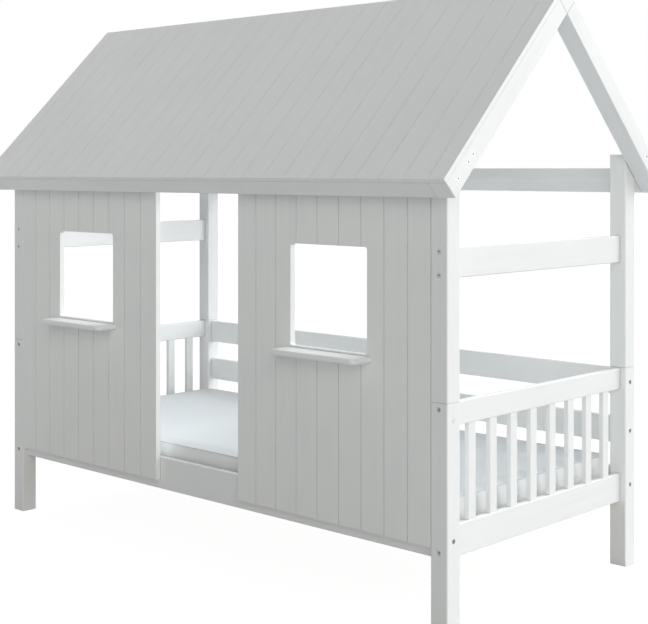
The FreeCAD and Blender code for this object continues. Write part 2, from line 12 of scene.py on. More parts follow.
import bpy
import numpy as np
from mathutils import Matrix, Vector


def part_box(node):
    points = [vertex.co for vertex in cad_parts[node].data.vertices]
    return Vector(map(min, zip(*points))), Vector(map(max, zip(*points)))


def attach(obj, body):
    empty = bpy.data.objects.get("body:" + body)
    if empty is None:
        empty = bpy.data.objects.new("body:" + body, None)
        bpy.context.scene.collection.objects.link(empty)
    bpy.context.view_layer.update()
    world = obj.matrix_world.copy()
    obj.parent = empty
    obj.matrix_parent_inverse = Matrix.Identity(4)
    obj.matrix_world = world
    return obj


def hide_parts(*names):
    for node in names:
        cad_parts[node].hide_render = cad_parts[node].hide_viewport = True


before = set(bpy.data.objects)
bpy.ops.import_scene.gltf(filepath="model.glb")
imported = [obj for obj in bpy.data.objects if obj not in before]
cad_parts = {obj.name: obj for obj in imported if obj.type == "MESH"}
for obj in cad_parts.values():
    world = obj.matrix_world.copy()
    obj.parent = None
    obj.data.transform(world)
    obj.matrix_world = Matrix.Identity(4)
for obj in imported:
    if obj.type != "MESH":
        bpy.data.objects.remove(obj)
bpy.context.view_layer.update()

IMAGE_WIDTH = 648
IMAGE_HEIGHT = 624
Z_AXIS = 2

Colour = tuple[float, float, float]
Point = tuple[float, float, float]
LOG = logging.getLogger("house_frame_bed")


class Grain(Enum):
    """Which way the fibres run, as the turn about X, Y and Z that lays them along local X."""

    ALONG_X = (0.0, 0.0, 0.0)
    ALONG_Y = (0.0, 0.0, -90.0)
    ALONG_Z = (0.0, 90.0, 0.0)
    FRONT_SLOPE = (-45.0, 0.0, -90.0)
    BACK_SLOPE = (45.0, 0.0, -90.0)


# -------- shader building blocks
class NodeSheet:
    """A node tree with short calls for adding nodes and linking their sockets."""

    def __init__(self, tree: bpy.types.NodeTree) -> None:
        """Starts on an empty tree.

        Args:
            tree: The material's, world's or group's node tree.
        """
        self.tree = tree
        self.tree.nodes.clear()

    def add(self, kind: str, **settings: object) -> bpy.types.Node:
        """Adds a node.

        Args:
            kind: The node's type name without its ShaderNode prefix.
            settings: Properties of the node, such as operation="ADD".

        Returns:
            The new node.
        """
        name = kind if kind.startswith("NodeGroup") else "ShaderNode" + kind
        node = self.tree.nodes.new(name)
        for key, value in settings.items():
            setattr(node, key, value)
        return node

    def link(self, start: bpy.types.NodeSocket, end: bpy.types.NodeSocket) -> None:
        """Joins an output to an input."""
        self.tree.links.new(start, end)

    def feed(self, socket: bpy.types.NodeSocket, value: object) -> None:
        """Gives an input a link if value is a socket, and else a plain value.

        Args:
            socket: The input.
            value: An output socket, a number, or a colour or vector.
        """
        if isinstance(value, bpy.types.NodeSocket):
            self.link(value, socket)
        elif isinstance(value, tuple) and len(value) == 3 and socket.type == "RGBA":
            socket.default_value = (*value, 1.0)
        else:
            socket.default_value = value

    def math(self, operation: str, *values: object) -> bpy.types.NodeSocket:
        """Adds a Math node.

        Args:
            operation: The Math node's operation.
            values: One to three inputs, each a socket or a number.

        Returns:
            The node's output socket.
        """
        node = self.add("Math", operation=operation)
        for socket, value in zip(node.inputs, values):
            self.feed(socket, value)
        return node.outputs[0]

    def mix(self, share: object, first: object, second: object) -> bpy.types.NodeSocket:
        """Mixes two colours.

        Args:
            share: How much of the second colour, from 0 to 1.
            first: A colour or a socket.
            second: A colour or a socket.

        Returns:
            The mixed colour's socket.
        """
        node = self.add("Mix", data_type="RGBA")
        self.feed(node.inputs["Factor"], share)
        self.feed(node.inputs[6], first)
        self.feed(node.inputs[7], second)
        return node.outputs[2]

    def noise(self, vector: object, scale: float, detail: float = 2.0,
              roughness: float = 0.5) -> bpy.types.NodeSocket:
        """Adds a noise texture.

        Args:
            vector: Where the pattern is read.
            scale: Cells per metre.
            detail: Octaves of finer noise.
            roughness: Weight of the finer noise.

        Returns:
            The noise value's socket.
        """
        node = self.add("TexNoise")
        self.feed(node.inputs["Vector"], vector)
        self.feed(node.inputs["Scale"], scale)
        self.feed(node.inputs["Detail"], detail)
        self.feed(node.inputs["Roughness"], roughness)
        return node.outputs["Fac"]

    def spread(self, value: object, low: float, high: float) -> bpy.types.NodeSocket:
        """Spreads a range smoothly over 0 to 1.

        Args:
            value: The input value.
            low: Input that gives 0.
            high: Input that gives 1.

        Returns:
            The mapped value's socket.
        """
        node = self.add("MapRange", interpolation_type="SMOOTHSTEP")
        for socket, number in zip(node.inputs, (value, low, high)):
            self.feed(socket, number)
        return node.outputs[0]

    def stretched(self, vector: object, factors: Point) -> bpy.types.NodeSocket:
        """Multiplies a vector by three factors and returns it."""
        node = self.add("VectorMath", operation="MULTIPLY")
        self.feed(node.inputs[0], vector)
        self.feed(node.inputs[1], factors)
        return node.outputs[0]


# the part of a noise's range that is spread over 0 to 1
FULL_NOISE = (0.3, 0.7)
STREAK_NOISE = (0.35, 0.75)
WEAR_NOISE = (0.35, 0.7)

# cells per metre of the timber's patterns, along the fibres and both ways across them
FIBRE_WANDER = (1.2, 6.0, 6.0)
FIBRE_BANDS = (2.2, 60.0, 60.0)
FIBRE_STREAKS = (14.0, 900.0, 900.0)
WANDER_REACH = 2.4  # cells that the wander pushes the bands aside
STIPPLE_CELLS = 650.0
FILM_DRIFT_CELLS = 3.5
WEAR_CELLS = 38.0
EDGE_TURN = (0.995, 0.80)  # cosines between rounded and true normal, from flat to edge
OPEN_AIR = (0.92, 0.45)  # open air left, from clean to full painted shade and dust
STITCH_LEAN = 0.9  # radians that a stitch leans to each side
COURSE_SHARE = 0.6  # share of a stitch's height that comes and goes along a wale
FLUFF_CELLS = 900.0
FLUFF_SHARE = 0.25
KNIT_DRIFT_CELLS = 5.0


class GroupSheet(NodeSheet):
    """A node group's sheet, with named inputs and outputs."""

    def __init__(self, name: str, inputs: dict[str, float | None], outputs: tuple[str, ...]) -> None:
        """Makes the group and its sockets.

        Args:
            name: The group's name.
            inputs: Its inputs with their usual values, or None for the place of a pattern.
            outputs: Names of the values that it puts out.
        """
        super().__init__(bpy.data.node_groups.new(name, "ShaderNodeTree"))
        for title, value in inputs.items():
            kind = "NodeSocketVector" if value is None else "NodeSocketFloat"
            socket = self.tree.interface.new_socket(title, in_out="INPUT", socket_type=kind)
            if value is not None:
                socket.default_value = value
        for title in outputs:
            self.tree.interface.new_socket(title, in_out="OUTPUT", socket_type="NodeSocketFloat")
        self.entry = self.add("NodeGroupInput")
        self.exit = self.add("NodeGroupOutput")

    def given(self, name: str) -> bpy.types.NodeSocket:
        """The value that the group is given under a name."""
        return self.entry.outputs[name]

    def give(self, name: str, value: bpy.types.NodeSocket) -> None:
        """Puts a value out under a name."""
        self.link(value, self.exit.inputs[name])


def timber_fibre() -> bpy.types.NodeTree:
    """Timber's fibres: noise drawn out along local X, in fine streaks and broad bands."""
    sheet = GroupSheet("timber_fibre", {"Vector": None}, ("Bands", "Streaks"))
    vector = sheet.given("Vector")
    wander = sheet.noise(sheet.stretched(vector, FIBRE_WANDER), 1.0, 1.0)
    bent = sheet.add("VectorMath", operation="ADD")
    sheet.feed(bent.inputs[0], sheet.stretched(vector, FIBRE_BANDS))
    sheet.feed(bent.inputs[1], sheet.math("MULTIPLY", wander, WANDER_REACH))
    bands = sheet.noise(bent.outputs[0], 1.0, 2.0, 0.55)
    streaks = sheet.noise(sheet.stretched(vector, FIBRE_STREAKS), 1.0, 1.0)
    sheet.give("Bands", sheet.spread(bands, *FULL_NOISE))
    sheet.give("Streaks", sheet.spread(streaks, *STREAK_NOISE))
    return sheet.tree


def paint_film() -> bpy.types.NodeTree:
    """Rolled paint: a fine stipple, and slow drifts in how thick the film lies."""
    sheet = GroupSheet("paint_film", {"Vector": None}, ("Stipple", "Drift"))
    vector = sheet.given("Vector")
    stipple = sheet.noise(vector, STIPPLE_CELLS, 2.0)
    drift = sheet.noise(vector, FILM_DRIFT_CELLS, 3.0, 0.6)
    sheet.give("Stipple", sheet.spread(stipple, *FULL_NOISE))
    sheet.give("Drift", sheet.spread(drift, *FULL_NOISE))
    return sheet.tree


def soft_edges() -> bpy.types.NodeTree:
    """Worn edges: how far a rounded normal leaves the true one, broken up by noise."""
    sheet = GroupSheet("soft_edges", {"Vector": None, "Radius": 0.002}, ("Wear", "Edge"))
    rounded = sheet.add("Bevel", samples=4)
    sheet.link(sheet.given("Radius"), rounded.inputs["Radius"])
    surface = sheet.add("NewGeometry")
    turn = sheet.add("VectorMath", operation="DOT_PRODUCT")
    sheet.link(rounded.outputs[0], turn.inputs[0])
    sheet.link(surface.outputs["Normal"], turn.inputs[1])
    bend = sheet.spread(turn.outputs["Value"], *EDGE_TURN)
    patchy = sheet.spread(sheet.noise(sheet.given("Vector"), WEAR_CELLS, 3.0, 0.65), *WEAR_NOISE)
    sheet.give("Wear", sheet.math("MULTIPLY", bend, patchy))
    sheet.give("Edge", bend)
    return sheet.tree


def crevice() -> bpy.types.NodeTree:
    """Grooves and joint lines: how much of the open air a point loses within a few millimetres, as a mask
    for painted shade.
    """
    sheet = GroupSheet("crevice", {"Reach": 0.003}, ("Shade",))
    air = sheet.add("AmbientOcclusion", samples=4)
    sheet.link(sheet.given("Reach"), air.inputs["Distance"])
    sheet.give("Shade", sheet.spread(air.outputs["AO"], *OPEN_AIR))
    return sheet.tree


def knitted_jersey() -> bpy.types.NodeTree:
    """Knitted jersey on a flat map in metres: wales cross courses, and each stitch leans in turn."""
    sheet = GroupSheet("knitted_jersey", {"Vector": None, "Pitch": 0.0024}, ("Loops", "Drift"))
    split = sheet.add("SeparateXYZ")
    sheet.link(sheet.given("Vector"), split.inputs[0])
    turns = sheet.math("DIVIDE", 2 * math.pi, sheet.given("Pitch"))
    across = sheet.math("MULTIPLY", split.outputs[0], turns)
    along = sheet.math("MULTIPLY", split.outputs[1], turns)
    lean = sheet.math("MULTIPLY", sheet.math("SINE", across), STITCH_LEAN)
    wale = sheet.math("ABSOLUTE", sheet.math("SINE", sheet.math("MULTIPLY", across, 0.5)))
    course = sheet.math("SINE", sheet.math("ADD", along, lean))
    course_height = sheet.math("MULTIPLY_ADD", course, 0.5, 0.5)
    loop_height = sheet.math("MULTIPLY_ADD", course_height, COURSE_SHARE, 1 - COURSE_SHARE)
    loops = sheet.math("MULTIPLY", wale, loop_height)
    fluff = sheet.noise(sheet.given("Vector"), FLUFF_CELLS, 2.0, 0.7)
    sheet.give("Loops", sheet.math("MULTIPLY_ADD", fluff, FLUFF_SHARE, loops))
    drift = sheet.noise(sheet.given("Vector"), KNIT_DRIFT_CELLS, 3.0)
    sheet.give("Drift", sheet.spread(drift, *FULL_NOISE))
    return sheet.tree


@dataclass(frozen=True)
class SharedEffects:
    """The node groups that several finishes use."""

    fibre: bpy.types.NodeTree
    film: bpy.types.NodeTree
    edges: bpy.types.NodeTree
    crevice: bpy.types.NodeTree
    knit: bpy.types.NodeTree

    @classmethod
    def build(cls) -> "SharedEffects":
        """Builds each group once."""
        return cls(timber_fibre(), paint_film(), soft_edges(), crevice(), knitted_jersey())


# -------- finishes
class MaterialSheet(NodeSheet):
    """A material's sheet, with its Principled shader and places to read patterns from."""

    def __init__(self, name: str) -> None:
        """Makes a material that has a Principled shader on its output.

        Args:
            name: The material's name.
        """
        self.material = bpy.data.materials.new(name)
        self.material.use_nodes = True
        super().__init__(self.material.node_tree)
        self.shader = self.add("BsdfPrincipled")
        self.output = self.add("OutputMaterial")
        self.link(self.shader.outputs[0], self.output.inputs["Surface"])

    def place(self, turn: Point = (0.0, 0.0, 0.0)) -> bpy.types.NodeSocket:
        """Object coordinates, turned by degrees about X, Y and Z.

        Args:
            turn: Degrees about each axis.

        Returns:
            The turned vector's socket.
        """
        coordinates = self.add("TexCoord")
        mapping = self.add("Mapping", vector_type="POINT")
        mapping.inputs["Rotation"].default_value = tuple(math.radians(angle) for angle in turn)
        self.link(coordinates.outputs["Object"], mapping.inputs["Vector"])
        return mapping.outputs[0]

    def group(self, tree: bpy.types.NodeTree, vector: bpy.types.NodeSocket | None = None,
              **values: float) -> bpy.types.bpy_prop_collection:
        """Places a shared group.

        Args:
            tree: The group.
            vector: Where its pattern is read, if it has one.
            values: Its other inputs.

        Returns:
            The group's outputs, by name.
        """
        node = self.add("Group", node_tree=tree)
        if vector is not None:
            self.link(vector, node.inputs["Vector"])
        for name, value in values.items():
            node.inputs[name].default_value = value
        return node.outputs

    def bump(self, height: bpy.types.NodeSocket, distance: float, strength: float = 1.0) -> None:
        """Raises the surface by a height pattern.

        Args:
            height: The pattern, about 0 to 1.
            distance: Metres that a height of 1 stands for.
            strength: Share of the bump that shows.
        """
        node = self.add("Bump")
        node.inputs["Distance"].default_value = distance
        node.inputs["Strength"].default_value = strength
        self.link(height, node.inputs["Height"])
        self.link(node.outputs[0], self.shader.inputs["Normal"])

    def set(self, **values: object) -> None:
        """Feeds the shader's sockets, whose names have underscores here in place of spaces."""
        for name, value in values.items():
            self.feed(self.shader.inputs[name.replace("_", " ")], value)


@dataclass(frozen=True)
class PaintedTimber:
    """Planed timber under satin paint: the fibres show faintly through the film.

    Attributes:
        name: The start of the materials' names.
        colour: The paint.
        shaded: The paint where it lies thin over the fibres' bands.
        worn: The paint along handled edges.
        shade_and_dust_colour: Painted shade down in grooves and joint lines, where the walls hide the
            light, with some dust.
        shade_and_dust_share: Share of that painted shade and dust that shows.
        wear: Share of the worn colour that shows along edges.
        edge_radius: Metres from an edge that wear and gloss reach.
        roughness: Of the flat film.
        rough_drift: How much the roughness drifts over the film.
        edge_gloss: How much smoother the handled edges are.
        fibre_relief: Metres that the fibres stand up through the paint.
        stipple_relief: Metres of the roller's stipple.
    """

    name: str
    colour: Colour = (0.872, 0.880, 0.877)
    shaded: Colour = (0.846, 0.853, 0.849)
    worn: Colour = (0.800, 0.798, 0.782)
    shade_and_dust_colour: Colour = (0.270, 0.265, 0.255)
    shade_and_dust_share: float = 0.70
    wear: float = 0.7
    edge_radius: float = 0.0025
    roughness: float = 0.42
    rough_drift: float = 0.08
    edge_gloss: float = 0.06
    fibre_relief: float = 0.00012
    stipple_relief: float = 0.00004

    def material(self, effects: SharedEffects, grain: Grain) -> bpy.types.Material:
        """Builds the material for one direction of the fibres.

        Args:
            effects: The shared groups.
            grain: Which way the fibres run.

        Returns:
            The material.
        """
        sheet = MaterialSheet(f"{self.name}_{grain.name.lower()}")
        place = sheet.place(grain.value)
        fibre = sheet.group(effects.fibre, place)
        film = sheet.group(effects.film, place)
        edges = sheet.group(effects.edges, place, Radius=self.edge_radius)
        thin = sheet.math("MULTIPLY", fibre["Bands"], film["Drift"])
        body = sheet.mix(thin, self.colour, self.shaded)
        body = sheet.mix(sheet.math("MULTIPLY", edges["Wear"], self.wear), body, self.worn)
        # Painted shade: grooves and joint lines darken by how little open air they see, as shade with a
        # little dust.
        shade_and_dust_share = sheet.math("MULTIPLY", sheet.group(effects.crevice)["Shade"], self.shade_and_dust_share)
        sheet.set(Base_Color=sheet.mix(shade_and_dust_share, body, self.shade_and_dust_colour))
        smoothest = self.roughness - self.rough_drift / 2
        gloss = sheet.math("MULTIPLY_ADD", film["Drift"], self.rough_drift, smoothest)
        gloss = sheet.math("MULTIPLY_ADD", edges["Edge"], -self.edge_gloss, gloss)
        sheet.set(Roughness=gloss)
        relief = sheet.math("MULTIPLY", film["Stipple"], self.stipple_relief / self.fibre_relief)
        relief = sheet.math("ADD", relief, fibre["Streaks"])
        sheet.bump(relief, self.fibre_relief)
        sheet.set(Specular_IOR_Level=0.4)
        return sheet.material


@dataclass(frozen=True)
class BareTimber:
    """Planed pine without paint: bands of early and late wood, and small knots.

    Attributes:
        name: The start of the materials' names.
        early: Colour of the pale bands.
        late: Colour of the dark bands.
        knot: Colour of the knots.
        knot_spacing: Metres between knots along the fibres.
        knot_squeeze: How much closer the knots lie across the fibres, which draws them out.
        knot_rim: Distances, in cells, from a knot's outer rim to its solid middle.
        streak: Share of the dark colour along the fine streaks.
        roughness: Of the pale bands.
        late_gloss: How much smoother the dark bands are.
        edge_gloss: How much smoother the edges are.
        relief: Metres that the fibres stand up.
    """

    name: str = "bare_pine"
    early: Colour = (0.760, 0.600, 0.400)
    late: Colour = (0.560, 0.380, 0.200)
    knot: Colour = (0.230, 0.120, 0.055)
    knot_spacing: float = 0.45
    knot_squeeze: Point = (1.0, 3.2, 3.2)
    knot_rim: tuple[float, float] = (0.085, 0.03)
    streak: float = 0.18
    roughness: float = 0.66
    late_gloss: float = 0.10
    edge_gloss: float = 0.08
    relief: float = 0.0001

    def material(self, effects: SharedEffects, grain: Grain) -> bpy.types.Material:
        """Builds the material for one direction of the fibres.

        Args:
            effects: The shared groups.
            grain: Which way the fibres run.

        Returns:
            The material.
        """
        sheet = MaterialSheet(f"{self.name}_{grain.name.lower()}")
        place = sheet.place(grain.value)
        fibre = sheet.group(effects.fibre, place)
        edges = sheet.group(effects.edges, place, Radius=0.002)
        knots = sheet.add("TexVoronoi")
        sheet.link(sheet.stretched(place, self.knot_squeeze), knots.inputs["Vector"])
        knots.inputs["Scale"].default_value = 1.0 / self.knot_spacing
        knot_mask = sheet.spread(knots.outputs["Distance"], *self.knot_rim)
        body = sheet.mix(fibre["Bands"], self.early, self.late)
        body = sheet.mix(sheet.math("MULTIPLY", fibre["Streaks"], self.streak), body, self.late)
        body = sheet.mix(knot_mask, body, self.knot)
        sheet.set(Base_Color=body)
        gloss = sheet.math("MULTIPLY_ADD", fibre["Bands"], -self.late_gloss, self.roughness)
        gloss = sheet.math("MULTIPLY_ADD", edges["Edge"], -self.edge_gloss, gloss)
        sheet.set(Roughness=gloss)
        sheet.bump(fibre["Streaks"], self.relief)
        return sheet.material


@dataclass(frozen=True)
class ZincSteel:
    """Zinc-plated steel: a grey metal with fine turning marks and cloudy plating.

    Attributes:
        name: The material's name.
        bright: Colour of the clear plating.
        dull: Colour of the cloudy plating.
        shaded: Painted shade down in the sockets of the heads, where the walls hide the light.
        socket_reach: Metres to the walls that shade a socket.
        cloud_cells: Cells per metre of the cloudy plating.
        roughness: Of the clear plating.
        cloud_haze: How much rougher the cloudy plating is.
        turning: Cells per metre of the turning marks.
        relief: Metres that the marks stand up.
    """

    name: str = "zinc_steel"
    bright: Colour = (0.60, 0.61, 0.63)
    dull: Colour = (0.46, 0.47, 0.49)
    shaded: Colour = (0.090, 0.090, 0.092)
    socket_reach: float = 0.004
    cloud_cells: float = 260.0
    roughness: float = 0.28
    cloud_haze: float = 0.18
    turning: Point = (2600.0, 2600.0, 300.0)
    relief: float = 0.00002

    def material(self, effects: SharedEffects) -> bpy.types.Material:
        """Builds the material.

        Args:
            effects: The shared groups.

        Returns:
            The material.
        """
        sheet = MaterialSheet(self.name)
        place = sheet.place()
        edges = sheet.group(effects.edges, place, Radius=0.0006)
        cloud = sheet.spread(sheet.noise(place, self.cloud_cells, 3.0, 0.6), *FULL_NOISE)
        body = sheet.mix(cloud, self.bright, self.dull)
        body = sheet.mix(edges["Edge"], body, self.bright)
        # Painted shade: the sockets darken by how little open air they see.
        socket = sheet.group(effects.crevice, Reach=self.socket_reach)["Shade"]
        sheet.set(Base_Color=sheet.mix(socket, body, self.shaded))
        sheet.set(Roughness=sheet.math("MULTIPLY_ADD", cloud, self.cloud_haze, self.roughness))
        sheet.bump(sheet.noise(sheet.stretched(place, self.turning), 1.0, 1.0), self.relief)
        sheet.set(Metallic=1.0)
        return sheet.material


@dataclass(frozen=True)
class WhitePlastic:
    """Moulded cap: matte white with a fine spark-eroded texture.

    Attributes:
        name: The material's name.
        colour: Of the plastic.
        shaded: Of its duller patches and worn edges.
        patches: Share of that colour in the patches.
        roughness: Of the smoothest spots.
        haze: How much rougher the stippled spots are.
        texture_cells: Cells per metre of the spark-eroded texture.
        relief: Metres that the texture stands up.
    """

    name: str = "white_plastic"
    colour: Colour = (0.80, 0.80, 0.79)
    shaded: Colour = (0.74, 0.74, 0.73)
    patches: float = 0.5
    roughness: float = 0.5
    haze: float = 0.1
    texture_cells: float = 1800.0
    relief: float = 0.00003

    def material(self, effects: SharedEffects) -> bpy.types.Material:
        """Builds the material.

        Args:
            effects: The shared groups.

        Returns:
            The material.
        """
        sheet = MaterialSheet(self.name)
        place = sheet.place()
        film = sheet.group(effects.film, place)
        edges = sheet.group(effects.edges, place, Radius=0.0008)
        patchy = sheet.math("MULTIPLY", film["Drift"], self.patches)
        body = sheet.mix(patchy, self.colour, self.shaded)
        sheet.set(Base_Color=sheet.mix(edges["Wear"], body, self.shaded))
        sheet.set(Roughness=sheet.math("MULTIPLY_ADD", film["Stipple"], self.haze, self.roughness))
        sheet.bump(sheet.noise(place, self.texture_cells, 2.0), self.relief)
        return sheet.material


@dataclass(frozen=True)
class KnittedCover:
    """White jersey over foam: small stitches, soft sheen and slow drifts of tone.

    Attributes:
        name: The material's name.
        raised: Colour of the stitches' tops.
        sunk: Colour between the stitches, darker as painted shade where the loops dip.
        pitch: Metres from stitch to stitch.
        relief: Metres that a stitch stands up.
        fade: Share of the duller colour where the tone drifts.
        roughness: Between the stitches.
        loop_gloss: How much smoother the stitches' tops are.
    """

    name: str
    raised: Colour
    sunk: Colour
    pitch: float = 0.0024
    relief: float = 0.00015
    fade: float = 0.25
    roughness: float = 0.92
    loop_gloss: float = 0.1

    def material(self, effects: SharedEffects) -> bpy.types.Material:
        """Builds the material, which reads the piece's own UV map, laid out in metres.

        Args:
            effects: The shared groups.

        Returns:
            The material.
        """
        sheet = MaterialSheet(self.name)
        flat_map = sheet.add("UVMap", uv_map="cloth")
        knit = sheet.group(effects.knit, flat_map.outputs[0], Pitch=self.pitch)
        # Painted shade: the colour darkens between the stitches, where the loops dip.
        body = sheet.mix(sheet.spread(knit["Loops"], 0.0, 0.8), self.sunk, self.raised)
        faded = sheet.math("MULTIPLY", knit["Drift"], self.fade)
        sheet.set(Base_Color=sheet.mix(faded, body, self.sunk))
        dull = sheet.math("MULTIPLY_ADD", knit["Loops"], -self.loop_gloss, self.roughness)
        sheet.set(Roughness=dull)
        sheet.bump(knit["Loops"], self.relief, strength=0.6)
        sheet.set(Specular_IOR_Level=0.2, Sheen_Weight=0.15, Sheen_Roughness=0.5)
        return sheet.material


# -------- meshes
def new_object(name: str, data: bpy.types.ID) -> bpy.types.Object:
    """Puts a mesh, a lamp or a camera into the scene, at the origin."""
    made = bpy.data.objects.new(name, data)
    bpy.context.scene.collection.objects.link(made)
    return made


def new_mesh_object(name: str, points: np.ndarray, faces: np.ndarray) -> bpy.types.Object:
    """Makes an object at the origin from points and quads.

    Args:
        name: The piece's name.
        points: Array of n by 3 places in metres.
        faces: Array of m by 4 corner numbers.

    Returns:
        The new object, linked to the scene and smooth shaded.
    """
    mesh = bpy.data.meshes.new(name)
    mesh.from_pydata(points.tolist(), [], faces.tolist())
    mesh.polygons.foreach_set("use_smooth", np.ones(len(faces), dtype=bool))
    mesh.update()
    return new_object(name, mesh)


def tube_along(name: str, path: np.ndarray, radius: float, sides: int) -> bpy.types.Object:
    """Makes a closed ring of tube.

    Each point of the path carries a circle that lies across the path: its two axes are the
    path's sideways direction and straight up.

    Args:
        name: The piece's name.
        path: Array of n by 3 places on a closed, level loop.
        radius: The tube's radius.
        sides: Points round the tube.

    Returns:
        The new object.
    """
    ahead = np.roll(path, -1, axis=0) - np.roll(path, 1, axis=0)
    ahead /= np.linalg.norm(ahead, axis=1, keepdims=True)
    up = np.array([0.0, 0.0, 1.0])
    sideways = np.cross(ahead, up)
    turn = np.linspace(0.0, 2 * math.pi, sides, endpoint=False)
    ring = (sideways[:, None, :] * np.cos(turn)[None, :, None] + up * np.sin(turn)[None, :, None])
    points = (path[:, None, :] + radius * ring).reshape(-1, 3)
    rows, columns = np.meshgrid(np.arange(len(path)), np.arange(sides), indexing="ij")
    next_row = (rows + 1) % len(path)
    next_column = (columns + 1) % sides
    faces = np.stack([rows * sides + columns, next_row * sides + columns,
                      next_row * sides + next_column, rows * sides + next_column], axis=-1)
    return new_mesh_object(name, points, faces.reshape(-1, 4)[:, ::-1])


# -------- the mattress
CLOTH_SETTINGS = {
    "quality": 6,
    "mass": 0.25,
    "tension_stiffness": 18.0,
    "compression_stiffness": 12.0,
    "bending_stiffness": 0.6,
    "use_pressure": True,
    "uniform_pressure_force": 4.0,
    "vertex_group_mass": "held",
}


